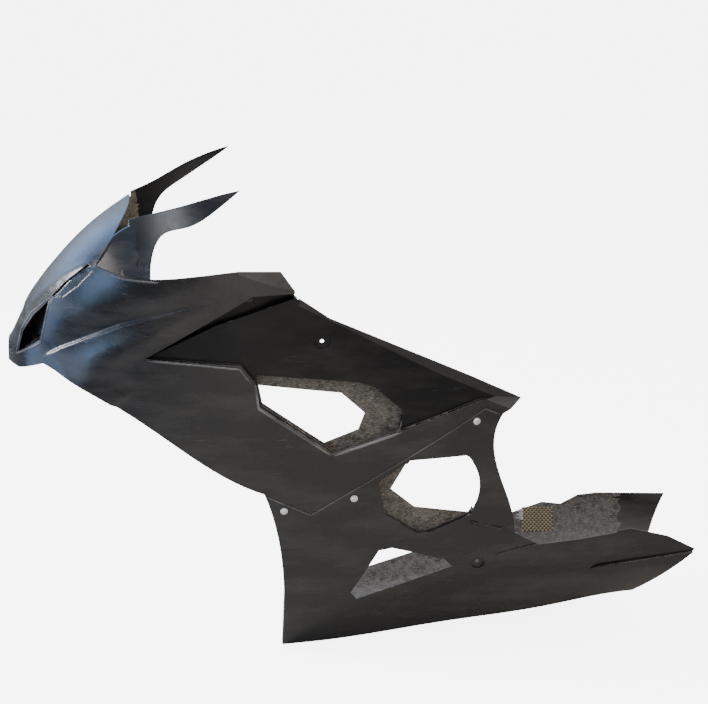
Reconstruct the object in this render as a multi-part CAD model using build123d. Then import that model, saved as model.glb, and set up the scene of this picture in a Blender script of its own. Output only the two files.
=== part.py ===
"""Glassfibre race fairing for a motorcycle: an upper moulding and a belly pan, screwed together.

Nose to -X, the bike's left side to -Y, +Z up. The two mouldings are cut from one master body,
which is lofted through stations along the bike, so that they share one flowing surface.
The origin ends up in the left side mount hole.
"""
import math
import os
from collections import namedtuple

from build123d import *

# Laminate and joints
WALL = 3.0
LAP_GAP = 0.3
SEAM_GAP = 0.6
PAN_STEP = 2.0
SEAT_GAP = 0.45

# Depths of the moulded steps, measured from the master surface
RECESS_DEPTH = 10.0
SLOT_DEPTH = 26.0
VENT_RIM_DEPTH = 20.0
INTAKE_DEPTH = 42.0
CHANNEL_DEPTH = 4.0
HOLE_RIM_DEPTH = 14.0
FIN_DEPTH = 9.0

# Turned edges
EDGE_TILT = 52.0
FOLD_TILT = 32.0

# Mount holes and their flat dimples
SIDE_MOUNT = (0.0, 0.0)
PAN_MOUNT = (273.0, -417.0)
MOUNT_BORE = 6.6
SIDE_DIMPLE = 28.0
PAN_DIMPLE = 24.0
SIDE_DIMPLE_DEPTH = 5.0
PAN_DIMPLE_DEPTH = 7.0

# Seam screws
SCREW_PLACES = ((-66.0, -297.0), (53.0, -278.0), (262.0, -149.0))
SCREW_DIAMETER = 5.0
SCREW_CLEARANCE = 0.5
HEAD_DIAMETER = 9.5
HEAD_HEIGHT = 2.8
SOCKET_WIDTH = 3.0
SOCKET_DEPTH = 1.6
WASHER_DIAMETER = 12.5
WASHER_THICKNESS = 1.0
NUT_WIDTH = 13.0
NUT_THICKNESS = 4.0
THREAD_GAP = 0.1
TAB_WIDTH = 38.0
TAB_LENGTH = 34.0

# Woven patch on the inside of the pan's right wall
PATCH_SIZE = (58.0, 42.0)
PATCH_PLACE = (444.0, -464.0)
PATCH_THICKNESS = 1.0
PATCH_GAP = 0.3

# The tool bodies reach this far past the fairing
REACH = 400.0

# One master station: half widths and heights of its crown, ridge, crease, waist and floor edge
Station = namedtuple("Station", "x apex ridge_y ridge_z crease_y crease_z waist_y waist_z edge_y edge_z")
STATIONS = (
    Station(-527, -30, 22, -42, 27, -50, 27, -300, 20, -570),
    Station(-512, -4, 56, -30, 66, -46, 66, -300, 50, -572),
    Station(-485, 46, 88, 12, 104, -38, 104, -300, 80, -574),
    Station(-448, 94, 120, 56, 134, -22, 134, -300, 100, -576),
    Station(-375, 163, 158, 124, 172, 16, 166, -300, 108, -580),
    Station(-330, 196, 182, 134, 189, 36, 175, -300, 110, -588),
    Station(-280, 226, 200, 142, 203, 52, 182, -300, 112, -590),
    Station(-210, 251, 212, 148, 212, 63, 189, -300, 113, -590),
    Station(-140, 267, 218, 150, 218, 70, 196, -300, 114, -588),
    Station(0, 262, 212, 130, 214, 40, 202, -300, 114, -580),
    Station(160, 190, 206, 40, 206, -40, 196, -300, 112, -562),
    Station(345, 80, 182, -40, 182, -110, 176, -320, 110, -542),
    Station(450, 0, 170, -120, 170, -190, 164, -340, 106, -528),
    Station(560, -60, 158, -180, 158, -250, 150, -350, 102, -514),
    Station(700, -120, 140, -240, 140, -300, 132, -380, 94, -496),
)
# Corners of the seam between the mouldings, and the ends of the tail, crown and horns, as (x, z)
SEAM_FRONT = (-99.0, -265.0)
SEAM_LOW = (-20.0, -303.0)
SEAM_HIGH = (279.0, -124.0)
SEAM_REAR = (309.0, -139.0)
TAIL_TIP = (344.0, -121.0)
CROWN_FOOT = (-367.0, 128.0)
CROWN_BACK = (-312.0, 206.0)
HORN_TIP = (-132.0, 258.0)
PAN_TIP = (674.0, -425.0)
LEDGE_HEIGHT = 99.0

# The slanted front of the pan's floor in plan, as (x, y)
FLOOR_FRONT = ((-200.0, -112.0), (-67.0, -112.0), (-44.0, 160.0), (-200.0, 160.0))

# The horn's sheet: x, then the half width and height of its top and of its foot
HORN_ROWS = (
    (-400.0, 122.0, 182.0, 180.0, 75.0),
    (-317.0, 122.0, 198.0, 186.0, 85.0),
    (-277.0, 142.0, 211.0, 194.0, 95.0),
    (-220.0, 186.0, 234.0, 236.0, 178.0),
    (-172.0, 205.0, 252.0, 250.0, 208.0),
    (-110.0, 213.0, 274.0, 254.0, 232.0),
)

FLOOR_CROWN = 4.0
BELLY_BOW = 22.0
FLANK_BOW = 8.0
CHEEK_BOW = 3.0
CROWN_FULLNESS = 0.76
# A deep step takes at most this share of the half width, so that it runs out at the nose
INSET_SHARE = 0.7


def bowed(start, end, bow):
    """The control point of a curve from start to end whose middle stands out by bow."""
    run = Vector(*end) - Vector(*start)
    middle = (Vector(*start) + Vector(*end)) * 0.5
    out = Vector(run.Y, -run.X).normalized() * 2 * bow
    return (middle.X + out.X, middle.Y + out.Y)


def section(station, depth, wall):
    """A closed half section of the left side: floor, belly, flank, cheek and crown."""
    x = station.x + wall

    def at(place):
        return (x, -place[0], place[1])

    inset = min(depth + wall, station.ridge_y * INSET_SHARE)
    floor = (0.0, station.edge_z - FLOOR_CROWN + wall)
    edge = (station.edge_y - inset * 0.7, station.edge_z + wall)
    waist = (station.waist_y - inset, station.waist_z)
    crease = (station.crease_y - inset, station.crease_z)
    ridge = (station.ridge_y - inset, station.ridge_z - wall)
    apex = (0.0, station.apex - wall)
    return Wire(
        [
            Line(at(floor), at(edge)),
            Bezier(at(edge), at(bowed(edge, waist, BELLY_BOW)), at(waist)),
            Bezier(at(waist), at(bowed(waist, crease, FLANK_BOW)), at(crease)),
            Bezier(at(crease), at(bowed(crease, ridge, CHEEK_BOW)), at(ridge)),
            Bezier(at(ridge), at((ridge[0] * CROWN_FULLNESS, apex[1])), at(apex)),
            Line(at(apex), at(floor)),
        ]
    )


def master(depth=0.0, wall=0.0):
    """The left half of the master body, set in by a depth sideways and by a wall all round."""
    return Solid.make_loft([section(station, depth, wall) for station in STATIONS])


def prism(face):
    """A face drawn in side view, as (x, z), run through the left half of the fairing."""
    return extrude(Plane.XZ * face, REACH)


def outline(*curves):
    """A closed face in side view from curves that meet end to end."""
    return make_face([edge for curve in curves for edge in curve.edges()])


def polygon(*corners):
    """A straight-sided face in side view."""
    return make_face(Polyline(*corners, close=True).edges())


def grown(face, amount):
    """The same face, larger all round."""
    return offset(face, amount)


# Stepped and open areas of the left side, drawn in side view
SLOT_APEX = (-292.0, -22.0)
VENT_CORNER = (16.0, -195.0)
VENT_HEEL = (131.0, -158.0)
RECESS = polygon(
    SLOT_APEX, (-113, 83), (-45, 86), (-34, 102), (25, 66), (262, -52), (380, -106), (267, -113),
    VENT_HEEL, VENT_CORNER, (-105, -107), (-112, -64), (-134, -34),
)
SLOT = polygon((-286, -21), (-112, 80), (-52, 83), (-42, 77), (-174, 33))
VENT_RIM = polygon(
    (-110, -52), (63, -72), (88, -82), (137, -126), (129, -156), (15, -192), (-103, -106), (-109, -66)
)
SIDE_VENT = polygon((-106, -73), (32, -92), (72, -129), (61, -158), (3, -180), (-100, -105))
INTAKE = polygon((-449, 60), (-467, -8), (-506, -38), (-497, -4), (-478, 28))
NOSE_CHANNEL = polygon((-444, 68), (-420, 94), (-378, 128), (-373, 119), (-397, 92), (-424, 70))
NOSE_SIDE = polygon((-560, -300), (-300, -300), (-285, 60), (-270, 95), (-268, 130), (-60, 300), (-560, 300))
PAN_HOLE = outline(
    Polyline((254, -322), (159, -305), (117, -268), (148, -213), (246, -210)),
    ThreePointArc((246, -210), (271, -264), (254, -322)),
)
PAN_HOLE_RIM = polygon(
    (138, -219), (94, -250), (107, -311), (163, -350), (185, -350), (231, -332), (258, -322), (258, -212)
)
PAN_VENT = polygon((50, -465), (97, -380), (120, -376), (150, -385), (212, -404), (228, -421), (61, -480))
FIN = polygon((527, -360), (518, -413), (476, -447), (700, -426), (700, -360))


# Lines above which the skin is turned inwards: its depth there, first and last (x, z), and the turn
EDGE_LINES = (
    (RECESS_DEPTH, (-40.0, 63.0), (350.0, -135.0), EDGE_TILT),
    (0.0, (-139.0, 122.0), (-40.0, 87.0), FOLD_TILT),
)


class Moulding:
    """A shell held as two solids, the outer skin and the hollow inside it, and what is cut off both."""

    def __init__(self, depth):
        self.skin = master(depth)
        self.hollow = master(depth, WALL)
        self.skin_cuts = []
        self.hollow_cuts = []

    def press(self, face, depth, wall=0.0):
        """Press a stepped recess into the wall, with a floor that follows the master surface."""
        self.skin_cuts.append(prism(face) - master(depth, wall))
        self.hollow_cuts.append(prism(grown(face, WALL)) - master(depth, wall + WALL))

    def turn_in(self, start, end, tilt):
        """Turn the skin inwards above the line from start to end."""
        self.skin_cuts.append(bevel_tool(start, end, tilt, 0.0))
        self.hollow_cuts.append(bevel_tool(start, end, tilt, WALL))

    def dimple(self, place, diameter, floor):
        """A flat round dimple square to Y, with a floor one wall thick."""
        for cuts, extra in ((self.skin_cuts, 0.0), (self.hollow_cuts, WALL)):
            plane = Plane(origin=(place[0], floor + extra, place[1]), z_dir=(0, -1, 0))
            cuts.append(extrude(plane * Circle(diameter / 2 + extra), REACH))

    def shell(self):
        return (self.skin - self.skin_cuts) - (self.hollow - self.hollow_cuts)


def surface_point(solid, x, z):
    """The outermost point of the left side at (x, z), and the normal there."""
    line = Axis((x, -REACH, z), (0, 1, 0))
    hits = [hit for face in solid.faces() for hit in face.find_intersection_points(line)]
    return min(hits, key=lambda hit: hit[0].Y)


def bevel_tool(start, end, tilt, inset):
    """What lies outside a slope that leans inwards, upwards of the line from start to end."""
    along = (end - start).normalized()
    upwards = Vector(-along.Z, 0, along.X).normalized()
    normal = upwards * math.sin(math.radians(tilt)) - Vector(0, math.cos(math.radians(tilt)), 0)
    normal = (normal - along * normal.dot(along)).normalized()
    plane = Plane(origin=(start + end) * 0.5 - normal * inset, x_dir=along, z_dir=normal)
    length = (end - start).length
    return plane * Pos(0, 0, REACH / 4) * Box(length, REACH / 2, REACH / 2)


def bore(place, diameter):
    """A round cutter along Y, through the left wall only."""
    plane = Plane(origin=(place[0], 0, place[1]), z_dir=(0, -1, 0))
    return extrude(plane * Circle(diameter / 2), REACH)


def upper_outline():
    """The upper moulding in side view: chin, wheel arch, seam, tail, rear edge, top edge and crown."""
    chin = Polyline((-560, -64), (-505, -64), (-462, -46))
    arch = Spline((-462, -46), (-409, -69), (-287, -143), (-156, -238), SEAM_FRONT)
    seam = Polyline(SEAM_FRONT, SEAM_LOW, SEAM_HIGH, SEAM_REAR, TAIL_TIP)
    rear = Polyline(TAIL_TIP, (251, -75), (13, 38), (-46, 78), (-45, 90), (-67, 120), (-139, 125))
    lip = Spline((-139, 125), (-265, 112), (-337, 118), CROWN_FOOT)
    crown = Polyline(CROWN_FOOT, CROWN_BACK, (CROWN_BACK[0], REACH), (-560, REACH), (-560, -64))
    return outline(chin, arch, seam, rear, lip, crown)


def horn():
    """One screen horn and the web below it, as a leaning sheet trimmed in side view."""
    rows = []
    for x, top_y, top_z, foot_y, foot_z in HORN_ROWS:
        corners = ((top_y, top_z), (foot_y, foot_z), (foot_y - WALL, foot_z), (top_y - WALL, top_z))
        rows.append(Wire(Polyline(*[(x, -y, z) for y, z in corners], close=True).edges()))
    sheet = Solid.make_loft(rows)
    under = Spline((-277, 98), (-274, 146), (-255, 181), (-222, 198), (-165, 233), HORN_TIP)
    over = Spline(HORN_TIP, (-176, 246), (-220, 230), (-289, 203), (-317, 193), (-352, 160))
    root = Polyline((-352, 160), (-378, 110), (-366, 92), (-277, 98))
    blade = sheet & prism(outline(under, over, root))
    front = Pos(CROWN_BACK[0] - REACH / 2, 0, 0) * Box(REACH, 2 * REACH, 4 * REACH)
    return blade - (front - master(LAP_GAP))


def ledge():
    """The narrow shelf between the panel's top lip and the foot of the web."""
    plan = make_face(Polyline((-380, -150), (-277, -160), (-277, -220), (-380, -200), close=True).edges())
    slab = extrude(Pos(0, 0, LEDGE_HEIGHT) * plan, WALL)
    return slab & master(WALL / 2)


def tab(place):
    """The outline of one joggled tab that reaches behind the pan at a screw."""
    front_leg = place[0] < SEAM_LOW[0]
    first, last = (SEAM_FRONT, SEAM_LOW) if front_leg else (SEAM_LOW, SEAM_HIGH)
    angle = (Vector(*last) - Vector(*first)).get_signed_angle(Vector(1, 0)) * -1
    return Pos(*place) * Rot(0, 0, angle) * Rectangle(TAB_WIDTH, TAB_LENGTH)


def upper_fairing(mount_floor, holes):
    moulding = Moulding(0.0)
    moulding.press(RECESS, RECESS_DEPTH)
    moulding.press(SLOT, SLOT_DEPTH)
    moulding.press(VENT_RIM, VENT_RIM_DEPTH)
    moulding.press(INTAKE, INTAKE_DEPTH)
    moulding.press(NOSE_CHANNEL, CHANNEL_DEPTH)
    body = upper_outline()
    tabs = [tab(place) for place in SCREW_PLACES]
    for face in tabs:
        moulding.press(face - body, PAN_STEP + LAP_GAP, WALL)
    for depth, first, last, tilt in EDGE_LINES:
        level = master(depth)
        moulding.turn_in(surface_point(level, *first)[0], surface_point(level, *last)[0], tilt)
    moulding.dimple(SIDE_MOUNT, SIDE_DIMPLE, mount_floor)
    trimmed = moulding.shell() & prism(body + tabs)
    left = trimmed - [prism(SIDE_VENT), bore(SIDE_MOUNT, MOUNT_BORE), *holes]
    left = left + [horn(), ledge()]
    right = mirror(left & prism(NOSE_SIDE), Plane.XZ)
    return left + right


def pan_left():
    """The pan's left wall in side view: front edge, seam, post, fin and slanted tail."""
    front = Spline((-66, -640), (-66, -452), (-84, -312), (SEAM_FRONT[0], SEAM_FRONT[1] - SEAM_GAP))
    drop = Vector(0, -SEAM_GAP)
    seam = [Vector(*corner) + drop for corner in (SEAM_FRONT, SEAM_LOW, SEAM_HIGH, SEAM_REAR)]
    top = Polyline(*seam)
    post = Spline(seam[-1], (294, -182), (306, -251), (336, -362))
    rear = Polyline((336, -362), (381, -389), (454, -385), (551, -375), (622, -396), PAN_TIP, (570, -514))
    floor = Polyline((570, -514), (564, -640), (-66, -640))
    return outline(front, top, post, rear, floor)


def pan_right():
    """The pan's low right wall in side view, with its straight rim."""
    return polygon(
        (-66, -640), (-66, -566), (80, -551), (207, -517), (392, -454), (455, -434), (490, -438),
        (524, -421), (560, -417), (689, -418), (657, -487), (570, -514), (564, -640),
    )


def belly_pan():
    moulding = Moulding(PAN_STEP)
    plain = moulding.skin - moulding.hollow
    moulding.press(PAN_HOLE_RIM, HOLE_RIM_DEPTH)
    moulding.press(FIN, FIN_DEPTH)
    floor = surface_point(moulding.skin, *PAN_MOUNT)[0].Y + PAN_DIMPLE_DEPTH
    moulding.dimple(PAN_MOUNT, PAN_DIMPLE, floor)
    left = moulding.shell() & prism(pan_left())
    left = left - [prism(PAN_HOLE), prism(PAN_VENT), bore(PAN_MOUNT, MOUNT_BORE)]
    right = mirror(plain & prism(pan_right()), Plane.XZ)
    lip_plan = make_face(Polyline(*FLOOR_FRONT, close=True).edges())
    return left + right - extrude(Pos(0, 0, -2 * REACH) * lip_plan, 2 * REACH)


def screw_planes(pan):
    """Where each seam screw sits: on the pan's outer face, square to it."""
    planes = []
    for place in SCREW_PLACES:
        point, normal = surface_point(pan, *place)
        planes.append(Plane(origin=point, z_dir=normal if normal.Y < 0 else normal * -1))
    return planes


def screw(plane):
    seat = SEAT_GAP + WASHER_THICKNESS
    grip = 2 * WALL + LAP_GAP + NUT_THICKNESS + 2 * SEAT_GAP
    head = Pos(0, 0, seat + HEAD_HEIGHT / 2) * Cylinder(HEAD_DIAMETER / 2, HEAD_HEIGHT)
    head = chamfer(head.edges().group_by(Axis.Z)[-1], HEAD_HEIGHT * 0.4)
    socket_floor = seat + HEAD_HEIGHT - SOCKET_DEPTH
    socket = extrude(Pos(0, 0, socket_floor) * RegularPolygon(SOCKET_WIDTH / 2, 6, major_radius=False), SOCKET_DEPTH)
    shank = extrude(Pos(0, 0, -grip) * Circle(SCREW_DIAMETER / 2), grip + seat)
    return plane * (head + shank - socket)


def washer(plane):
    ring = Circle(WASHER_DIAMETER / 2) - Circle(SCREW_DIAMETER / 2 + THREAD_GAP)
    return plane * extrude(Pos(0, 0, SEAT_GAP) * ring, WASHER_THICKNESS)


def clip_nut(plane):
    blank = RectangleRounded(NUT_WIDTH, NUT_WIDTH, NUT_WIDTH / 6) - Circle(SCREW_DIAMETER / 2 + THREAD_GAP)
    back = 2 * WALL + LAP_GAP + SEAT_GAP + NUT_THICKNESS
    return plane * extrude(Pos(0, 0, -back) * blank, NUT_THICKNESS)


def woven_patch():
    seat = WALL + PATCH_GAP
    layer = master(PAN_STEP, seat) - master(PAN_STEP, seat + PATCH_THICKNESS)
    sheet = layer & prism(Pos(*PATCH_PLACE) * Rectangle(*PATCH_SIZE))
    return mirror(sheet, Plane.XZ)


def screw_holes(planes):
    radius = (SCREW_DIAMETER + SCREW_CLEARANCE) / 2
    return [plane * Cylinder(radius, 8 * WALL) for plane in planes]


mount_floor = surface_point(master(RECESS_DEPTH), *SIDE_MOUNT)[0].Y + SIDE_DIMPLE_DEPTH
mount_y = mount_floor + WALL / 2
pan = belly_pan()
planes = screw_planes(pan)
holes = screw_holes(planes)
nodes = {
    "upper_fairing": upper_fairing(mount_floor, holes),
    "belly_pan": pan - holes,
    "seam_screws": Compound([screw(plane) for plane in planes]),
    "seam_washers": Compound([washer(plane) for plane in planes]),
    "seam_nuts": Compound([clip_nut(plane) for plane in planes]),
    "woven_patch": woven_patch(),
}
os.makedirs("parts", exist_ok=True)
for name, shape in nodes.items():
    export_step(Pos(0, -mount_y, 0) * shape, f"parts/{name}.step")
    print(name, len(shape.solids()), "solids", round(shape.volume), "mm3")
print("side mount at half width", round(mount_y, 2))
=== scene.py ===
# %% [markdown]
# A glassfibre race fairing, in two mouldings that are screwed together along a slanted seam.
# The measured solids come in as a fixed frame. This lesson dresses them: the black gelcoat that was sprayed
# into the mould first, the raw laminate behind it, the bright fasteners and a patch of woven cloth.
# The frame's box is measured at once.

# %% Load the frame
import math

import bmesh
import bpy
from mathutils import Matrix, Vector
from mathutils.bvhtree import BVHTree


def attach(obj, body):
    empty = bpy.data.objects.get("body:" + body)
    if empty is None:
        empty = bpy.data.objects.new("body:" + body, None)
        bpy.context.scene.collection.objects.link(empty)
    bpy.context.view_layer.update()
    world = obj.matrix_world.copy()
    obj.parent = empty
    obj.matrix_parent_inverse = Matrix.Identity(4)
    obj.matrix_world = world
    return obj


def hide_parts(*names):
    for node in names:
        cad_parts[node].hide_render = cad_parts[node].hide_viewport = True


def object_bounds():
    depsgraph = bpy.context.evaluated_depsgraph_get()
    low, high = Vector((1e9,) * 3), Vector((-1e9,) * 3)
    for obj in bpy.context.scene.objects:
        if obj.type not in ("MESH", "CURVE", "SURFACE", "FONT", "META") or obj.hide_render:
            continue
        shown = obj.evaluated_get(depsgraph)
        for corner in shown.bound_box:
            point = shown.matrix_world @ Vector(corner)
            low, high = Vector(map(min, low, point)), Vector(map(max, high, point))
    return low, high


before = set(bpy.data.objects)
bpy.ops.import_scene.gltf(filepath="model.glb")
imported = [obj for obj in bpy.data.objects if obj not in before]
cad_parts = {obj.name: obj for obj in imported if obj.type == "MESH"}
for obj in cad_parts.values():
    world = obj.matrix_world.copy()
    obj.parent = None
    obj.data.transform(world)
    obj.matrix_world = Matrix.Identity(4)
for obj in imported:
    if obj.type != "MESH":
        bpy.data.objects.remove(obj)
cad_low, cad_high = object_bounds()
print("frame", sorted(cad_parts), "box", [round(v, 3) for v in (*cad_low, *cad_high)])


# %% [markdown]
# The camera stands a little in front of the bike and looks down at the left side. It could be aimed by eye, but
# its place was found by matching the mount hole and the outline, so the perspective is that of the real view.

# %% Camera
CAMERA_PLACE = (-0.2503, -2.8875, 0.8120)
CAMERA_TURN = (math.radians(74.0), 0.0, math.radians(-6.0))
CAMERA_ANGLE = math.radians(22.0)
bpy.ops.object.select_all(action="DESELECT")
bpy.ops.object.camera_add(location=CAMERA_PLACE, rotation=CAMERA_TURN)
camera = bpy.context.object
camera.name = "view_camera"
camera.data.sensor_fit = "HORIZONTAL"
camera.data.angle = CAMERA_ANGLE
bpy.context.scene.camera = camera
print("camera at", CAMERA_PLACE)


# %% [markdown]
# The floor is a large plain plane under the part. A black glossy moulding mirrors whatever is around it, and over
# a white floor it would turn grey. So only rays from the camera see the floor white, and reflections see it dim,
# cool in front and warm behind. The small helpers that build node trees here are used for every finish later.

# %% Floor
def new_finish(name):
    """A material with its node tree and its Principled shader."""
    material = bpy.data.materials.new(name)
    material.use_nodes = True
    return material, material.node_tree, material.node_tree.nodes["Principled BSDF"]


def axis_values(tree, kind):
    """The x, y and z of a kind of texture coordinate."""
    where = tree.nodes.new("ShaderNodeTexCoord")
    axes = tree.nodes.new("ShaderNodeSeparateXYZ")
    tree.links.new(where.outputs[kind], axes.inputs[0])
    return axes.outputs


def remap(tree, value, low, high, to_low=0.0, to_high=1.0):
    """Stretch a value from one range to another, clamped."""
    node = tree.nodes.new("ShaderNodeMapRange")
    node.inputs["From Min"].default_value = low
    node.inputs["From Max"].default_value = high
    node.inputs["To Min"].default_value = to_low
    node.inputs["To Max"].default_value = to_high
    tree.links.new(value, node.inputs["Value"])
    return node.outputs["Result"]


def mix_colour(tree, factor, first, second):
    """Mix two colours by a factor; a colour may be a tuple or a socket."""
    node = tree.nodes.new("ShaderNodeMix")
    node.data_type = "RGBA"
    tree.links.new(factor, node.inputs["Factor"])
    for label, value in (("A", first), ("B", second)):
        if isinstance(value, tuple):
            node.inputs[label].default_value = (*value, 1.0)
        else:
            tree.links.new(value, node.inputs[label])
    return node.outputs["Result"]


FLOOR_SIZE = 60.0
FLOOR_HEIGHT = cad_low[2] - 0.0005
FLOOR_GLOW = 5.5
bpy.ops.object.select_all(action="DESELECT")
bpy.ops.mesh.primitive_plane_add(size=FLOOR_SIZE, location=(0.0, 0.0, FLOOR_HEIGHT))
floor = bpy.context.object
floor.name = "studio_floor"
floor_paint, floor_tree, floor_shader = new_finish("pale_floor")
floor_shader.inputs["Roughness"].default_value = 0.9
floor_shader.inputs["Emission Strength"].default_value = FLOOR_GLOW
seen_directly = floor_tree.nodes.new("ShaderNodeLightPath").outputs["Is Camera Ray"]
rearward = remap(floor_tree, axis_values(floor_tree, "Object")["X"], -1.5, -0.3)
mirrored = mix_colour(floor_tree, rearward, (0.20, 0.21, 0.23), (0.58, 0.54, 0.47))
for socket, unseen, pale in (("Base Color", mirrored, 0.9), ("Emission Color", (0.0, 0.0, 0.0), 1.0)):
    tone = mix_colour(floor_tree, seen_directly, unseen, (pale, pale, pale))
    floor_tree.links.new(tone, floor_shader.inputs[socket])
floor.data.materials.append(floor_paint)
print("floor at", round(FLOOR_HEIGHT, 4))


# %% [markdown]
# The sky is the rest of what the gelcoat mirrors. A picture of a room could be used, but a few mixed colours are
# easier to steer: pale blue behind the part, dim and warm behind the camera, and blue overhead in front.

# %% Sky
world = bpy.data.worlds.new("studio_sky")
bpy.context.scene.world = world
world.use_nodes = True
sky = world.node_tree
toward = axis_values(sky, "Generated")
horizon = mix_colour(sky, remap(sky, toward["Y"], -0.55, 0.35), (0.34, 0.30, 0.27), (0.80, 0.90, 1.0))
ceiling = mix_colour(sky, remap(sky, toward["X"], -0.45, 0.25), (0.48, 0.68, 1.0), (1.35, 1.22, 1.16))
dome = mix_colour(sky, remap(sky, toward["Z"], 0.12, 0.55), horizon, ceiling)
background = sky.nodes["Background"]
background.inputs["Strength"].default_value = 1.0
sky.links.new(dome, background.inputs["Color"])
print("sky of", len(sky.nodes), "nodes")


# %% [markdown]
# Lamps give the long soft glints that show a dark curved panel. Each is a square area lamp turned to face a point
# on the part. Small lamps would give hard spots, so the boxes are large: blue ones shine along the nose, one
# strip draws its ridge, and a weak warm one fills the low side.

# %% Lamps
def soft_lamp(name, place, aim, size, power, colour):
    """A square area lamp that faces a point."""
    bpy.ops.object.select_all(action="DESELECT")
    bpy.ops.object.light_add(type="AREA", location=place)
    lamp = bpy.context.object
    lamp.name = name
    lamp.data.size = size
    lamp.data.energy = power
    lamp.data.color = colour
    lamp.rotation_euler = (Vector(aim) - Vector(place)).to_track_quat("-Z", "Y").to_euler()


# name, place, point it faces, size in metres, power in watts, colour
LAMPS = (
    ("top_box", (0.0, -0.6, 2.4), (0.0, 0.1, 0.0), 1.4, 46.0, (1.0, 0.97, 0.94)),
    ("crown_box", (-1.7, 2.2, 1.1), (-0.4, 0.2, 0.1), 1.5, 17.0, (0.30, 0.52, 1.0)),
    ("ridge_strip", (-2.2, 0.5, 0.8), (-0.45, 0.1, 0.0), 0.55, 62.0, (0.90, 0.95, 1.0)),
    ("flank_box", (-2.0, -1.13, 0.34), (-0.40, 0.03, -0.03), 0.6, 13.0, (0.36, 0.60, 1.0)),
    ("cheek_box", (-1.8, 0.0, -0.1), (-0.4, 0.1, -0.05), 0.8, 8.0, (0.36, 0.56, 1.0)),
    ("low_box", (-0.1, -1.7, -0.35), (0.0, 0.0, -0.2), 0.7, 1.6, (1.0, 0.90, 0.80)),
)
for lamp_row in LAMPS:
    soft_lamp(*lamp_row)
print(len(LAMPS), "lamps")


# %% [markdown]
# A sprayed skin keeps a fine waviness from its mould, and it bends every reflection a little. Real dents in the
# mesh would need far too many faces, so it is a height for a bump: broad waves and a little fine grain.
# Several finishes share it, so it is made once as a node group with a named input and output.

# %% Shared effect: ripple of the mould
def start_group(name, inputs, outputs):
    """A shader node group with named float inputs, and outputs of the named kinds."""
    group = bpy.data.node_groups.new(name, "ShaderNodeTree")
    for label, value in inputs:
        socket = group.interface.new_socket(label, in_out="INPUT", socket_type="NodeSocketFloat")
        socket.default_value = value
    for label in outputs:
        group.interface.new_socket(label, in_out="OUTPUT", socket_type="NodeSocketFloat")
    return group, group.nodes.new("NodeGroupInput"), group.nodes.new("NodeGroupOutput")


def combine(tree, operation, first, second):
    """A math node on two values; either may be a number."""
    node = tree.nodes.new("ShaderNodeMath")
    node.operation = operation
    for socket, value in zip(node.inputs, (first, second)):
        if isinstance(value, (int, float)):
            socket.default_value = value
        else:
            tree.links.new(value, socket)
    return node.outputs["Value"]


def placed(tree, turn=(0.0, 0.0, 0.0), squeeze=(1.0, 1.0, 1.0)):
    """Object coordinates, turned and squeezed where the marks run one way."""
    where = tree.nodes.new("ShaderNodeTexCoord")
    mapping = tree.nodes.new("ShaderNodeMapping")
    mapping.inputs["Rotation"].default_value = turn
    mapping.inputs["Scale"].default_value = squeeze
    tree.links.new(where.outputs["Object"], mapping.inputs["Vector"])
    return mapping.outputs["Vector"]


def noise(tree, where, scale, detail=3.0, rough=0.5):
    """A noise texture on the given coordinates; the scale may be a number or a socket."""
    node = tree.nodes.new("ShaderNodeTexNoise")
    tree.links.new(where, node.inputs["Vector"])
    if isinstance(scale, (int, float)):
        node.inputs["Scale"].default_value = scale
    else:
        tree.links.new(scale, node.inputs["Scale"])
    node.inputs["Detail"].default_value = detail
    node.inputs["Roughness"].default_value = rough
    return node.outputs["Fac"]


ripple, ripple_in, ripple_out = start_group("mould_ripple", [("Scale", 1.0)], ["Height"])
still = placed(ripple)
ripple_scale = ripple_in.outputs["Scale"]
broad = noise(ripple, still, combine(ripple, "MULTIPLY", ripple_scale, 14.0), 2.0)
grain = noise(ripple, still, combine(ripple, "MULTIPLY", ripple_scale, 420.0), 2.0)
waves = combine(ripple, "MULTIPLY", broad, 0.8)
ripple.links.new(
    combine(ripple, "ADD", waves, combine(ripple, "MULTIPLY", grain, 0.12)), ripple_out.inputs["Height"]
)
print("effect", ripple.name)


# %% [markdown]
# Panels that have been leant on walls and carried about have hairline scratches and dusty smears. Scratches
# could be painted by hand, but noise squeezed hard in one direction gives fine lines anywhere: two sets of lines
# cross, and a broad noise lets them show only in worn patches. The smears are a softer, wider noise.

# %% Shared effect: handling wear
scuff, scuff_in, scuff_out = start_group("handling_wear", [("Amount", 0.5)], ["Scratch", "Dust"])
lines_a = noise(scuff, placed(scuff, (0.0, 0.7, 0.0), (30.0, 30.0, 900.0)), 1.0, 2.0)
lines_b = noise(scuff, placed(scuff, (0.0, -0.5, 0.0), (24.0, 24.0, 1100.0)), 1.0, 2.0)
hairlines = combine(scuff, "MAXIMUM", remap(scuff, lines_a, 0.69, 0.74), remap(scuff, lines_b, 0.70, 0.75))
patches = remap(scuff, noise(scuff, placed(scuff), 9.0, 4.0), 0.52, 0.68)
scratches = combine(scuff, "MULTIPLY", hairlines, patches)
smears = noise(scuff, placed(scuff, (0.0, 0.55, 0.0), (6.0, 6.0, 22.0)), 1.0, 6.0, 0.65)
for label, mask in (("Scratch", scratches), ("Dust", remap(scuff, smears, 0.45, 0.78))):
    scuff.links.new(combine(scuff, "MULTIPLY", mask, scuff_in.outputs["Amount"]), scuff_out.inputs[label])
print("effect", scuff.name)


# %% [markdown]
# Where there is no gelcoat the glass mat shows: short strands that lie every way, with resin pooled between them.
# Thousands of modelled strands would be slow and hardly seen. Four turned, stretched noises give the strands,
# a cloudy one gives the pools, and both together are the height for the bump.

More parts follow.
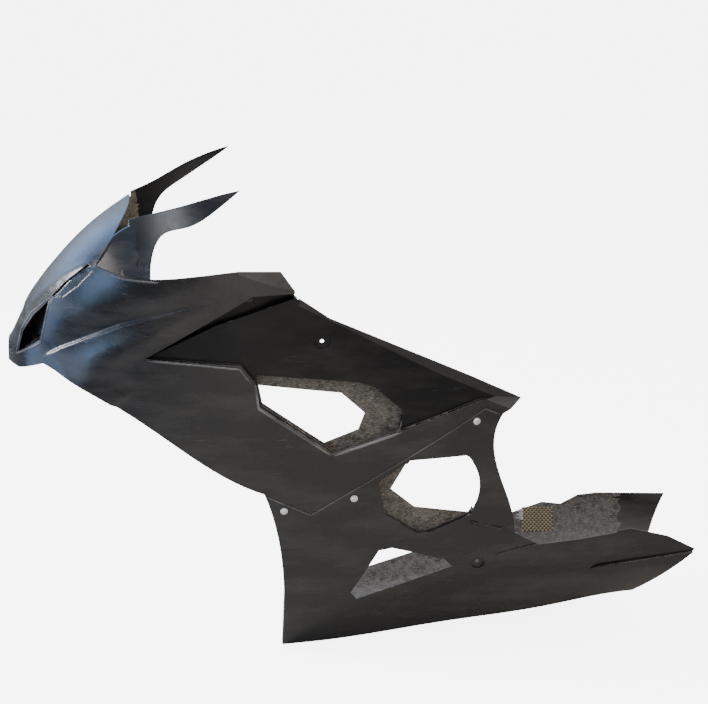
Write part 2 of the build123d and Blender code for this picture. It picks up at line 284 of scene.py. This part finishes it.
# %% Shared effect: chopped strands
STRAND_TURNS = (0.2, 1.2, 2.3, 2.9)
strand, strand_in, strand_out = start_group("chopped_strands", [("Scale", 1.0)], ["Strand", "Pool", "Height"])
strand_scale = strand_in.outputs["Scale"]
crossing = None
for turn in STRAND_TURNS:
    run = noise(strand, placed(strand, (0.3, turn, 0.2), (60.0, 420.0, 420.0)), strand_scale, 2.0)
    run = remap(strand, run, 0.60, 0.70)
    crossing = run if crossing is None else combine(strand, "MAXIMUM", crossing, run)
pools = noise(strand, placed(strand, squeeze=(34.0, 34.0, 34.0)), strand_scale, 5.0, 0.62)
raised = combine(strand, "ADD", combine(strand, "MULTIPLY", crossing, 0.6), pools)
for label, value in (("Strand", crossing), ("Pool", remap(strand, pools, 0.36, 0.66)), ("Height", raised)):
    strand.links.new(value, strand_out.inputs[label])
print("effect", strand.name)


# %% [markdown]
# Gelcoat is the coloured resin that is sprayed into the mould first, so it becomes the outer skin. It is near
# black with a clear shine, and dust and scratches make it greyer and duller. A moulded edge is never quite sharp.
# It could be bevelled in the mesh, but a Bevel node rounds the normals over every edge for no extra faces, and
# the same normals show where an edge turns, so that chips can sit there.

# %% Gelcoat finishes
SCRATCH_COLOUR = (0.16, 0.155, 0.15)
CHIP_COLOUR = (0.34, 0.32, 0.30)
EDGE_RADIUS = 0.0018


def use_group(tree, group, **values):
    """Place a node group in a material and set its inputs."""
    node = tree.nodes.new("ShaderNodeGroup")
    node.node_tree = group
    for label, value in values.items():
        node.inputs[label].default_value = value
    return node.outputs


def eased_edges(tree, radius):
    """Normals rounded over each edge, and a mask that is bright where they turn."""
    eased = tree.nodes.new("ShaderNodeBevel")
    eased.samples = 6
    eased.inputs["Radius"].default_value = radius
    shape = tree.nodes.new("ShaderNodeNewGeometry")
    meet = tree.nodes.new("ShaderNodeVectorMath")
    meet.operation = "DOT_PRODUCT"
    tree.links.new(eased.outputs["Normal"], meet.inputs[0])
    tree.links.new(shape.outputs["Normal"], meet.inputs[1])
    return eased.outputs["Normal"], remap(tree, meet.outputs["Value"], 0.985, 0.80)


def bump(tree, height, shader, strength, distance, under=None):
    """Feed a height to a shader as a bump, over other normals where they are given."""
    node = tree.nodes.new("ShaderNodeBump")
    if under is not None:
        tree.links.new(under, node.inputs["Normal"])
    node.inputs["Strength"].default_value = strength
    node.inputs["Distance"].default_value = distance
    tree.links.new(height, node.inputs["Height"])
    tree.links.new(node.outputs["Normal"], shader.inputs["Normal"])


def gelcoat(name, dark, dusty, amount, shine=0.5, dull=0.24):
    """Black sprayed gelcoat with dust, hairlines, chipped edges and the ripple of its mould."""
    material, tree, shader = new_finish(name)
    wear = use_group(tree, scuff, Amount=amount)
    wave = use_group(tree, ripple, Scale=1.0)
    dusted = mix_colour(tree, wear["Dust"], dark, dusty)
    scratched = mix_colour(tree, wear["Scratch"], dusted, SCRATCH_COLOUR)
    edge_normals, edge = eased_edges(tree, EDGE_RADIUS)
    nicks = remap(tree, noise(tree, placed(tree), 38.0, 5.0, 0.7), 0.64, 0.70)
    behind_nose = remap(tree, axis_values(tree, "Object")["X"], -0.34, -0.26)
    chipped = combine(tree, "MULTIPLY", edge, combine(tree, "MULTIPLY", nicks, behind_nose))
    tree.links.new(mix_colour(tree, chipped, scratched, CHIP_COLOUR), shader.inputs["Base Color"])
    dusty_rough = remap(tree, wear["Dust"], 0.0, 1.0, dull, dull + 0.28)
    rough = combine(tree, "ADD", dusty_rough, combine(tree, "MULTIPLY", wear["Scratch"], 0.2))
    tree.links.new(rough, shader.inputs["Roughness"])
    shader.inputs["IOR"].default_value = 1.5
    shader.inputs["Specular IOR Level"].default_value = shine
    bump(tree, wave["Height"], shader, 0.12, 0.002, edge_normals)
    return material


black_gelcoat = gelcoat("black_gelcoat", (0.0065, 0.006, 0.0058), (0.046, 0.040, 0.034), 0.85)
horn_gelcoat = gelcoat("horn_gelcoat", (0.0062, 0.006, 0.006), (0.036, 0.034, 0.034), 0.8, 0.14, 0.46)
# The sunk panel and the slot get a darker, duller copy of the gelcoat: painted shade in the recess.
shaded_sunk_gelcoat = gelcoat("shaded_sunk_gelcoat", (0.0058, 0.0056, 0.0056), (0.030, 0.028, 0.025), 0.8, 0.2, 0.30)
print("gelcoats", [finish.name for finish in (black_gelcoat, horn_gelcoat, shaded_sunk_gelcoat)])


# %% [markdown]
# The inner side of a moulding is raw laminate: brown resin over grey glass, wet-looking in the pools and dull on
# the strands. The trimmed flanges round the vents are the same stuff, dirtier and with more glint. The back of
# the
# crown gets a lighter, tan copy: painted light where light falls on the inside. One function makes all three,
# with other colours.

# %% Raw laminate finishes
def laminate(name, resin, glass, glint, scale):
    """Raw glassfibre: resin pools over a mat of chopped strands."""
    material, tree, shader = new_finish(name)
    mat = use_group(tree, strand, Scale=scale)
    base = mix_colour(tree, mat["Pool"], resin, glass)
    tree.links.new(mix_colour(tree, mat["Strand"], base, glint), shader.inputs["Base Color"])
    tree.links.new(remap(tree, mat["Pool"], 0.0, 1.0, 0.28, 0.6), shader.inputs["Roughness"])
    bump(tree, mat["Height"], shader, 0.5, 0.0012)
    return material


# The lighter tan copy paints the light that falls on the inside of the crown.
lit_crown_laminate = laminate("lit_crown_laminate", (0.055, 0.042, 0.022), (0.17, 0.145, 0.095), (0.30, 0.27, 0.20), 2.4)
raw_laminate = laminate("raw_laminate", (0.022, 0.017, 0.012), (0.085, 0.075, 0.062), (0.17, 0.155, 0.14), 2.2)
flange_laminate = laminate(
    "flange_laminate", (0.012, 0.010, 0.007), (0.115, 0.10, 0.075), (0.30, 0.27, 0.22), 2.6
)
print("laminates", [finish.name for finish in (lit_crown_laminate, raw_laminate, flange_laminate)])


# %% [markdown]
# Each moulding is a thin shell with a nose, horns, vents and pressed steps. Modelling it again would only drift
# away from the measured solid, so each shell starts as a copy of its solid. A solid's mesh is loose triangles,
# so the copy is merged first, and it drops what ties the solid to the frame. Then it gets its six finishes.

# %% Copies of the solids
SKIN, RAW, FLANGE, HORN, TAN, SUNK = range(6)
SHELL_FINISHES = (black_gelcoat, raw_laminate, flange_laminate, horn_gelcoat, lit_crown_laminate, shaded_sunk_gelcoat)
MERGE_DISTANCE = 0.00002


def pick(piece):
    """Select one piece alone and make it active."""
    bpy.ops.object.select_all(action="DESELECT")
    piece.select_set(True)
    bpy.context.view_layer.objects.active = piece


def shell_copy(node_name, piece_name):
    """A merged copy of a solid, ready to be finished, in place of the solid."""
    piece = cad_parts[node_name].copy()
    piece.data = piece.data.copy()
    piece.name = piece_name
    piece.parent = None
    for key in list(piece.keys()):
        del piece[key]
    bpy.context.scene.collection.objects.link(piece)
    pick(piece)
    piece.data.materials.clear()
    for finish in SHELL_FINISHES:
        piece.data.materials.append(finish)
    bpy.ops.object.mode_set(mode="EDIT")
    bpy.ops.mesh.select_all(action="SELECT")
    bpy.ops.mesh.remove_doubles(threshold=MERGE_DISTANCE)
    bpy.ops.object.mode_set(mode="OBJECT")
    print(piece_name, "has", len(piece.data.polygons), "faces")
    return piece


upper_shell = shell_copy("upper_fairing", "upper_shell")
pan_shell = shell_copy("belly_pan", "pan_shell")


# %% [markdown]
# A face that lay against the mould carries gelcoat, and any other is raw laminate. Picking thousands of faces by
# hand would be slow, so each face looks outwards instead: if another part of the shell is close in front of it,
# it is covered and raw. Side-view outlines then pick the sunk panel, the slot above it and the trimmed flanges.

# %% Gelcoat outside, laminate inside
CENTRE_PLANE = 0.1994
COVER_REACH = 0.016
# outlines in the side view, in millimetres
SUNK_PANEL = [
    (-292, -22), (-113, 83), (-45, 86), (-34, 102), (25, 66), (262, -52), (374, -106),
    (267, -113), (131, -158), (16, -195), (-105, -107), (-112, -64), (-134, -34),
]
SLOT = [(-290, -25), (-114, 88), (-54, 92), (-32, 108), (-16, 96), (-40, 70), (-174, 28)]
VENT_FLANGE = [
    (-112, -50), (66, -68), (92, -80), (140, -124), (131, -158), (16, -195), (-105, -107), (-112, -64),
]
PAN_FLANGE = [
    (138, -219), (92, -250), (105, -313), (163, -353), (187, -353), (233, -334), (262, -322), (262, -210),
]
# length and depth of the side panel's outer skin, in millimetres
SKIN_LINE = [(-292, -2), (-202, -14), (-115, -21), (0, -19), (80, -12), (181, -8), (278, 3), (380, 15)]


def inside(corners, x, z):
    """Whether (x, z) lies inside a side-view outline, all in millimetres."""
    hit = False
    for (ax, az), (bx, bz) in zip(corners, corners[1:] + corners[:1]):
        if (az > z) != (bz > z) and x < (bx - ax) * (z - az) / (bz - az) + ax:
            hit = not hit
    return hit


def skin_line(x):
    """How far out the side panel's skin is at a length, in millimetres; far in where there is none."""
    for (ax, ay), (bx, by) in zip(SKIN_LINE, SKIN_LINE[1:]):
        if ax <= x <= bx:
            return ay + (by - ay) * (x - ax) / (bx - ax)
    return 1000.0


def surface_tree(piece):
    """A search tree of a piece's faces, for rays."""
    return BVHTree.FromPolygons([v.co for v in piece.data.vertices], [p.vertices for p in piece.data.polygons])


def sort_faces(piece, axis_height, flange, flange_depth):
    """Give each face one of the six finishes, by where it is and what covers it."""
    tree = surface_tree(piece)
    count = [0] * len(SHELL_FINISHES)
    for face in piece.data.polygons:
        centre, facing = face.center, face.normal
        x, y, z = centre * 1000.0
        out = Vector((0.0, centre.y - CENTRE_PLANE, 0.4 * (centre.z - axis_height))).normalized()
        on_horn = z > 128.0 and x > -300.0
        covered = not on_horn and tree.ray_cast(centre + facing * 0.0004, out, COVER_REACH)[0] is not None
        finish = RAW if covered else HORN if on_horn else SKIN
        # the sunk panel and the slot take the darker copy of the gelcoat, which paints shade there
        sunk_face = facing.y < -0.6 and skin_line(x) + 5.0 < y < 50.0
        if not covered and sunk_face and inside(SUNK_PANEL, x, z):
            finish = SUNK
        if 2.0 < y - skin_line(x) < 27.0 and inside(SLOT, x, z):
            finish = SUNK
        # covered faces high on the crown take the lighter tan copy, which paints light there
        if covered and x > -350.0 and z > 125.0:
            finish = TAN
        if covered and x > 600.0 and centre.y > CENTRE_PLANE:
            finish = SKIN
        if not covered and facing.y < -0.4 and inside(flange, x, z) and y > flange_depth:
            finish = FLANGE
        face.material_index = finish
        count[finish] += 1
    print(piece.name, "faces: gelcoat, laminate, flange, horn, tan, recess", count)


sort_faces(upper_shell, -0.10, VENT_FLANGE, -4.0)
sort_faces(pan_shell, -0.36, PAN_FLANGE, 6.0)


# %% [markdown]
# A solid's mesh has long thin triangles, and smooth shading smears dark shapes along them. A remesh would make
# them even but would also round off the moulded edges. So the sharp edges are marked and held, long edges are
# divided in a few rounds, and only the free points between them are relaxed.

# %% Finer meshes
LONGEST_EDGE = 0.011
DIVIDE_ROUNDS = 5
SHARP_ANGLE = math.radians(18.0)


def refine(shell):
    """Divide long edges and relax the new points, with the sharp edges held where they are."""
    pick(shell)
    bpy.ops.object.mode_set(mode="EDIT")
    bpy.ops.mesh.select_mode(type="EDGE")
    bpy.ops.mesh.select_all(action="DESELECT")
    bpy.ops.mesh.edges_select_sharp(sharpness=SHARP_ANGLE)
    bpy.ops.mesh.mark_sharp()
    mesh = bmesh.from_edit_mesh(shell.data)
    for _ in range(DIVIDE_ROUNDS):
        for edge in mesh.edges:
            edge.select_set(edge.calc_length() > LONGEST_EDGE)
        bmesh.update_edit_mesh(shell.data)
        bpy.ops.mesh.subdivide(number_cuts=1)
        bpy.ops.mesh.select_all(action="SELECT")
        bpy.ops.mesh.quads_convert_to_tris()
        mesh = bmesh.from_edit_mesh(shell.data)
    bpy.ops.mesh.select_mode(type="VERT")
    mesh = bmesh.from_edit_mesh(shell.data)
    for vertex in mesh.verts:
        vertex.select_set(all(edge.smooth for edge in vertex.link_edges))
    mesh.select_flush_mode()
    bmesh.update_edit_mesh(shell.data)
    bpy.ops.mesh.vertices_smooth(factor=0.5, repeat=10)
    bpy.ops.object.mode_set(mode="OBJECT")
    print(shell.name, "now has", len(shell.data.polygons), "faces")


for shell in (upper_shell, pan_shell):
    refine(shell)


# %% [markdown]
# The mould also has shallow relief: a shelf under the cheek line, a ridge up the nose and two fine creases in the
# pan. Each follows a line in the side view. A bump would give shading but no real step, so the shell is divided
# finely along the line, and each point is pushed out by an amount that depends on its distance below the line.

# %% Pressing along a line
def soften(value):
    """Ease from 0 to 1."""
    value = min(1.0, max(0.0, value))
    return value * value * (3.0 - 2.0 * value)


def along_line(line, x, z):
    """Distance below a side-view line in millimetres, and the share of its length."""
    lengths = [math.hypot(bx - ax, bz - az) for (ax, az), (bx, bz) in zip(line, line[1:])]
    best, done = None, 0.0
    for (ax, az), (bx, bz), length in zip(line, line[1:], lengths):
        share = min(1.0, max(0.0, ((x - ax) * (bx - ax) + (z - az) * (bz - az)) / length ** 2))
        away = math.hypot(x - ax - share * (bx - ax), z - az - share * (bz - az))
        if best is None or away < best[0]:
            side = (bx - ax) * (z - az) - (bz - az) * (x - ax)
            best = (away, -1.0 if side > 0 else 1.0, (done + share * length) / sum(lengths))
        done += length
    return best[0] * best[1], best[2]


def press_line(shell, line, reach, fine, smallest, push, shape):
    """Divide a shell finely along a side-view line and push its points out by a shape."""
    mesh = bmesh.new()
    mesh.from_mesh(shell.data)

    def near(vertex):
        return abs(along_line(line, vertex.co.x * 1000.0, vertex.co.z * 1000.0)[0]) < fine

    for _ in range(4):
        close = {vertex for vertex in mesh.verts if near(vertex)}
        inner = [edge for edge in mesh.edges if edge.verts[0] in close and edge.verts[1] in close]
        long_edges = [edge for edge in inner if edge.calc_length() > smallest]
        bmesh.ops.subdivide_edges(mesh, edges=long_edges, cuts=1)
        bmesh.ops.triangulate(mesh, faces=[face for face in mesh.faces if len(face.verts) > 3])
    moved = 0
    for vertex in mesh.verts:
        below, share = along_line(line, vertex.co.x * 1000.0, vertex.co.z * 1000.0)
        if -reach < below < reach and 0.0 < share < 1.0:
            side = -1.0 if vertex.co.y < CENTRE_PLANE else 1.0
            out = Vector((push[0], push[1] * side, push[2])).normalized()
            vertex.co += out * shape(below, share) / 1000.0
            moved += 1
    mesh.to_mesh(shell.data)
    mesh.free()
    print(shell.name, "line pressed,", moved, "points moved,", len(shell.data.polygons), "faces")


# %% [markdown]
# Each relief has a section of its own, in millimetres out from the skin. The shelf steps out and then leans out
# further before it dies away. The ridge is a rounded bump with a valley under it, and the crease is a plain V.
# All of them fade in and out at their ends, because a pressing that stops dead looks cut, not moulded.

# %% Shelf, ridge and creases
def cheek_swage(below, share):
    """A shelf that steps out under the line, leans out further and dies away below."""
    below = below / (1.0 - 0.62 * soften((share - 0.35) / 0.6))
    ends = soften(share / 0.08) * soften((1.0 - share) / 0.4)
    if below < 0.0:
        return -3.2 * ends * (1.0 - soften(-below / 42.0))
    rise = 4.8 * soften(below / 6.0) + 8.5 * soften(below / 80.0) - 3.2
    fall = 1.0 - soften((below - 30.0) / 48.0) * soften((share - 0.12) / 0.3)
    return rise * fall * ends


def nose_ridge(below, share):
    """A rounded ridge with a fine valley under it."""
    ends = soften(share / 0.1) * soften((1.0 - share) / 0.12)
    return ends * (2.4 * math.exp(-(below / 5.0) ** 2) - 1.2 * math.exp(-((below - 10.0) / 4.0) ** 2))


def thin_groove(below, share):
    """A narrow crease."""
    return -3.0 * max(0.0, 1.0 - abs(below) / 3.2) * soften(share / 0.1) * soften((1.0 - share) / 0.2)


CHEEK_LINE = [(-466, -32), (-432, -11), (-397, 6), (-364, 21), (-332, 35), (-281, 50), (-232, 62), (-167, 75)]
RIDGE_LINE = [(-503, 14), (-484, 40), (-456, 71), (-427, 98), (-397, 118), (-371, 133)]
UPPER_CREASE = [(249, -333), (292, -346), (335, -359)]
LOWER_CREASE = [(300, -404), (340, -395), (395, -384)]
SIDEWAYS = (0.0, 1.0, 0.0)
press_line(upper_shell, CHEEK_LINE, 120.0, 11.0, 0.0017, (-0.38, 0.92, 0.0), cheek_swage)
press_line(upper_shell, RIDGE_LINE, 24.0, 13.0, 0.0034, (-0.79, 0.26, 0.55), nose_ridge)
press_line(pan_shell, UPPER_CREASE, 4.0, 7.0, 0.0012, SIDEWAYS, thin_groove)
press_line(pan_shell, LOWER_CREASE, 4.0, 7.0, 0.0012, SIDEWAYS, thin_groove)


# %% [markdown]
# Smooth shading averages the normals of the faces round a point, and small faces beside large ones pull it askew.
# The Weighted Normal modifier lets the large faces count for more, so flat panels look flat. It is applied, so
# the shell is a plain mesh that takes the place of its solid.

# %% Even shading
for shell, node in ((upper_shell, "upper_fairing"), (pan_shell, "belly_pan")):
    pick(shell)
    bpy.ops.object.shade_smooth()
    even = shell.modifiers.new("even_normals", "WEIGHTED_NORMAL")
    even.mode = "FACE_AREA_WITH_ANGLE"
    even.weight = 100
    even.keep_sharp = True
    bpy.ops.object.modifier_apply(modifier=even.name)
    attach(shell, "root")
    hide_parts(node)
    print(shell.name, "stands in for", node)


# %% [markdown]
# Three screws with washers and clip nuts hold the seam. They are bright zinc-plated steel. The solids already
# have their whole shape, so they are kept and only get a finish. Zinc is a pale metal with faint crystals and is
# never quite even, so a fine noise shifts both its colour and its shine.

# %% Fasteners
FASTENERS = ("seam_screws", "seam_washers", "seam_nuts")
zinc, zinc_tree, zinc_shader = new_finish("bright_zinc")
crystal = noise(zinc_tree, placed(zinc_tree), 900.0, 4.0, 0.6)
zinc_tone = mix_colour(zinc_tree, remap(zinc_tree, crystal, 0.3, 0.7), (0.62, 0.63, 0.64), (0.86, 0.87, 0.88))
zinc_tree.links.new(zinc_tone, zinc_shader.inputs["Base Color"])
zinc_tree.links.new(remap(zinc_tree, crystal, 0.3, 0.7, 0.2, 0.42), zinc_shader.inputs["Roughness"])
zinc_shader.inputs["Metallic"].default_value = 1.0
for node in FASTENERS:
    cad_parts[node].data.materials.clear()
    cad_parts[node].data.materials.append(zinc)
print(zinc.name, "on", FASTENERS)


# %% [markdown]
# The edge of a moulding is often rolled over, because a sharp laminate edge cracks. Under a lamp the roll is a
# bright line, and its finish is a much lighter gelcoat that paints that highlight in. It could be bevelled into
# the shell, but the edges here bend and step too much for that. So each
# roll is a round bead laid along the edge: a curve with a thickness, its depth measured on the shell by rays.

# %% Rolled edges
def swept_line(name, points, widths, radius, rounding):
    """A round line through points as a closed mesh, with a share of the radius at each point."""
    bpy.ops.object.select_all(action="DESELECT")
    bpy.ops.curve.primitive_nurbs_path_add()
    line = bpy.context.object
    line.name = name
    line.location = (0.0, 0.0, 0.0)
    line.data.splines.clear()
    spline = line.data.splines.new("POLY")
    spline.points.add(len(points) - 1)
    for spot, point, width in zip(spline.points, points, widths):
        spot.co = (*point, 1.0)
        spot.radius = width
    line.data.bevel_depth = radius
    line.data.bevel_resolution = rounding
    line.data.use_fill_caps = True
    bpy.ops.object.convert(target="MESH")
    return bpy.context.object


def bead(name, shell, corners, radius):
    """A round bead on the outer face of a shell, along side-view corners in millimetres."""
    tree = surface_tree(shell)
    points = []
    for (ax, az), (bx, bz) in zip(corners, corners[1:]):
        steps = max(2, int(math.hypot(bx - ax, bz - az) / 5.0))
        for step in range(steps + 1):
            x, z = ax + (bx - ax) * step / steps, az + (bz - az) * step / steps
            hit = tree.ray_cast(Vector((x / 1000.0, -1.0, z / 1000.0)), Vector((0.0, 1.0, 0.0)))[0]
            if hit is not None and (not points or (hit - points[-1]).length > 0.001):
                points.append(hit + Vector((0.0, radius * 0.35, 0.0)))
    last = len(points) - 1
    widths = [min(1.0, 0.35 + 0.25 * min(place, last - place)) for place in range(len(points))]
    roll = swept_line(name, points, widths, radius, 3)
    roll.data.materials.clear()
    # each roll takes the lighter gelcoat copy, a painted highlight
    roll.data.materials.append(highlight_gelcoat)
    bpy.ops.object.shade_smooth()
    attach(roll, "root")
    print(name, len(points), "points")


# The rolls get a much lighter copy of the gelcoat: a painted highlight along each roll.
highlight_gelcoat = gelcoat("highlight_gelcoat", (0.060, 0.055, 0.055), (0.26, 0.24, 0.23), 0.9, 0.6, 0.2)
INTAKE_EDGE = [(-446, 64), (-464, -11), (-510, -43), (-500, -2), (-480, 31), (-446, 64)]
SEAM_EDGE = [(-94, -271), (-20, -306.5), (40, -270), (160, -198.5), (277, -128.5), (304, -141)]
bead("vent_front_roll", upper_shell, [(-113, -62), (-107, -109), (14, -197)], 0.0022)
bead("vent_lower_roll", upper_shell, [(18, -197), (134, -160)], 0.0026)
bead("cheek_roll", upper_shell, [(-352, 116), (-320, 110), (-265, 107)], 0.0020)
bead("recess_roll", upper_shell, [(-288, -25), (-202, -33), (-137, -40), (-118, -66)], 0.0018)
bead("intake_roll", upper_shell, INTAKE_EDGE, 0.0017)
bead("seam_roll", pan_shell, SEAM_EDGE, 0.0015)


# %% [markdown]
# A patch of woven cloth strengthens the far wall of the pan. Cloth is flat bundles of fibre, called tows: gold
# ones run one way and dark ones the other. A picture of cloth would look flat from close by. Here each tow has a
# finish whose fibre lines follow its own UV map, so they run along the tow whichever way it lies.

# %% Finishes of the tows
def tow_finish(name, colour, glint):
    """A tow of parallel fibres; the lines follow its own length."""
    material, tree, shader = new_finish(name)
    lay = tree.nodes.new("ShaderNodeUVMap")
    run = tree.nodes.new("ShaderNodeMapping")
    run.inputs["Scale"].default_value = (3.0, 60.0, 1.0)
    tree.links.new(lay.outputs["UV"], run.inputs["Vector"])
    fibres = noise(tree, run.outputs["Vector"], 1.0, 3.0, 0.6)
    tree.links.new(mix_colour(tree, remap(tree, fibres, 0.35, 0.68), colour, glint), shader.inputs["Base Color"])
    tree.links.new(remap(tree, fibres, 0.3, 0.7, 0.5, 0.25), shader.inputs["Roughness"])
    bump(tree, fibres, shader, 0.4, 0.0004)
    return material


gold_tow = tow_finish("gold_tow", (0.10, 0.072, 0.026), (0.36, 0.28, 0.13))
dark_tow = tow_finish("dark_tow", (0.006, 0.0058, 0.005), (0.045, 0.040, 0.032))
print("tows", gold_tow.name, dark_tow.name)


# %% [markdown]
# The cloth has to lie just where the solid patch lies, and the wall there leans. So the patch is measured first:
# its largest face gives the way out of the wall, and its points give its middle, its length and its height.

# %% Measure the patch
patch_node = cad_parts["woven_patch"]
patch_out = max(patch_node.data.polygons, key=lambda face: face.area).normal.copy()
if patch_out.y > 0:
    patch_out.negate()
patch_points = [vertex.co for vertex in patch_node.data.vertices]
patch_middle = sum(patch_points, Vector()) / len(patch_points)
patch_up = (Vector((0.0, 0.0, 1.0)) - patch_out * patch_out.z).normalized()
patch_along = patch_up.cross(patch_out).normalized()


def patch_span(axis):
    """How far the patch reaches along an axis."""
    places = [(point - patch_middle).dot(axis) for point in patch_points]
    return max(places) - min(places)


PATCH_LENGTH, PATCH_HEIGHT = patch_span(patch_along), patch_span(patch_up)
print("patch", [round(v * 1000, 1) for v in (PATCH_LENGTH, PATCH_HEIGHT)], "mm")


# %% [markdown]
# Each tow starts as a flat grid and becomes a strip with a wave in it. The cross tows wave the other way, so they
# really do pass over and under each other. The strips are then joined into one cloth, and the Solidify modifier
# gives them their thickness.

# %% Woven patch
TOW_WIDTH = 0.0036
TOW_FILL = 0.94
TOW_THICKNESS = 0.0004
TOW_WAVE = 0.0003
TOW_CROWN = 0.00016
OFF_MIDDLE = 0.0004
across = int(PATCH_LENGTH / TOW_WIDTH)
down = int(PATCH_HEIGHT / TOW_WIDTH)


def tow_strip(lengthwise, row):
    """One waved strip of the cloth, along its length or its height."""
    span, room = (PATCH_LENGTH, PATCH_HEIGHT) if lengthwise else (PATCH_HEIGHT, PATCH_LENGTH)
    crossings, rows = (across, down) if lengthwise else (down, across)
    width = room / rows
    shift = (row + 0.5) * width - room / 2
    bpy.ops.object.select_all(action="DESELECT")
    bpy.ops.mesh.primitive_grid_add(x_subdivisions=48, y_subdivisions=4, size=1.0, calc_uvs=True)
    strip = bpy.context.object
    for vertex in strip.data.vertices:
        along, side = vertex.co.x * span, vertex.co.y * width * TOW_FILL
        phase = math.pi * ((along / span + 0.5) * crossings + row + (0 if lengthwise else 1))
        lift = TOW_WAVE * math.sin(phase) + TOW_CROWN * (1.0 - (2.0 * vertex.co.y) ** 2)
        first, second = (along, side + shift) if lengthwise else (side + shift, along)
        vertex.co = patch_middle + patch_along * first + patch_up * second + patch_out * (lift + OFF_MIDDLE)
    strip.data.materials.append(gold_tow if lengthwise else dark_tow)
    if not lengthwise:
        strip.data.flip_normals()
    return strip


def join_pieces(pieces, name):
    """Join pieces into one."""
    bpy.ops.object.select_all(action="DESELECT")
    for piece in pieces:
        piece.select_set(True)
    bpy.context.view_layer.objects.active = pieces[0]
    bpy.ops.object.join()
    whole = bpy.context.object
    whole.name = name
    return whole


strips = [tow_strip(True, row) for row in range(down)] + [tow_strip(False, row) for row in range(across)]
weave = join_pieces(strips, "woven_cloth")
thickness = weave.modifiers.new("thickness", "SOLIDIFY")
thickness.thickness = TOW_THICKNESS
thickness.offset = -1.0
bpy.ops.object.modifier_apply(modifier=thickness.name)
bpy.ops.object.shade_smooth()
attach(weave, "root")
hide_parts("woven_patch")
print("weave of", down, "by", across, "tows")


# %% [markdown]
# At the cut edge of the cloth the fibres come loose. Each one is a hair of glass that curls away from the wall.
# A hair system would make hundreds, but only a few show, so a small number of thin round lines is laid along the
# front edge of the patch. Sine waves bend each one by another amount, so every run gives the same hairs.

# %% Loose fibres
HAIRS = 22
HAIR_STEPS = 7
HAIR_RADIUS = 0.00032
glass_hair, hair_tree, hair_shader = new_finish("glass_hair")
hair_light = remap(hair_tree, noise(hair_tree, placed(hair_tree), 260.0, 2.0), 0.35, 0.65)
hair_tone = mix_colour(hair_tree, hair_light, (0.42, 0.41, 0.38), (0.86, 0.85, 0.82))
hair_tree.links.new(hair_tone, hair_shader.inputs["Base Color"])
hair_shader.inputs["Roughness"].default_value = 0.3


def loose_fibre(number):
    """One hair that starts at the patch's front edge and curls away."""
    share = number / (HAIRS - 1)
    curl = math.sin(number * 2.4)
    reach = 0.008 + 0.007 * abs(math.sin(number * 1.7))
    root = patch_middle - patch_along * (PATCH_LENGTH * 0.5) + patch_up * (PATCH_HEIGHT * (0.46 * share - 0.02))
    points, widths = [], []
    for place in range(HAIR_STEPS + 1):
        step = place / HAIR_STEPS
        swing = patch_up * (0.006 * curl * step * step) + patch_out * (0.0006 + 0.003 * step * step)
        points.append(root - patch_along * (reach * step - 0.002) + swing)
        widths.append(1.0 - 0.6 * step)
    return swept_line("loose_fibre", points, widths, HAIR_RADIUS, 1)


frayed = join_pieces([loose_fibre(number) for number in range(HAIRS)], "frayed_fibres")
frayed.data.materials.clear()
frayed.data.materials.append(glass_hair)
bpy.ops.object.shade_smooth()
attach(frayed, "root")
print(HAIRS, "loose fibres")
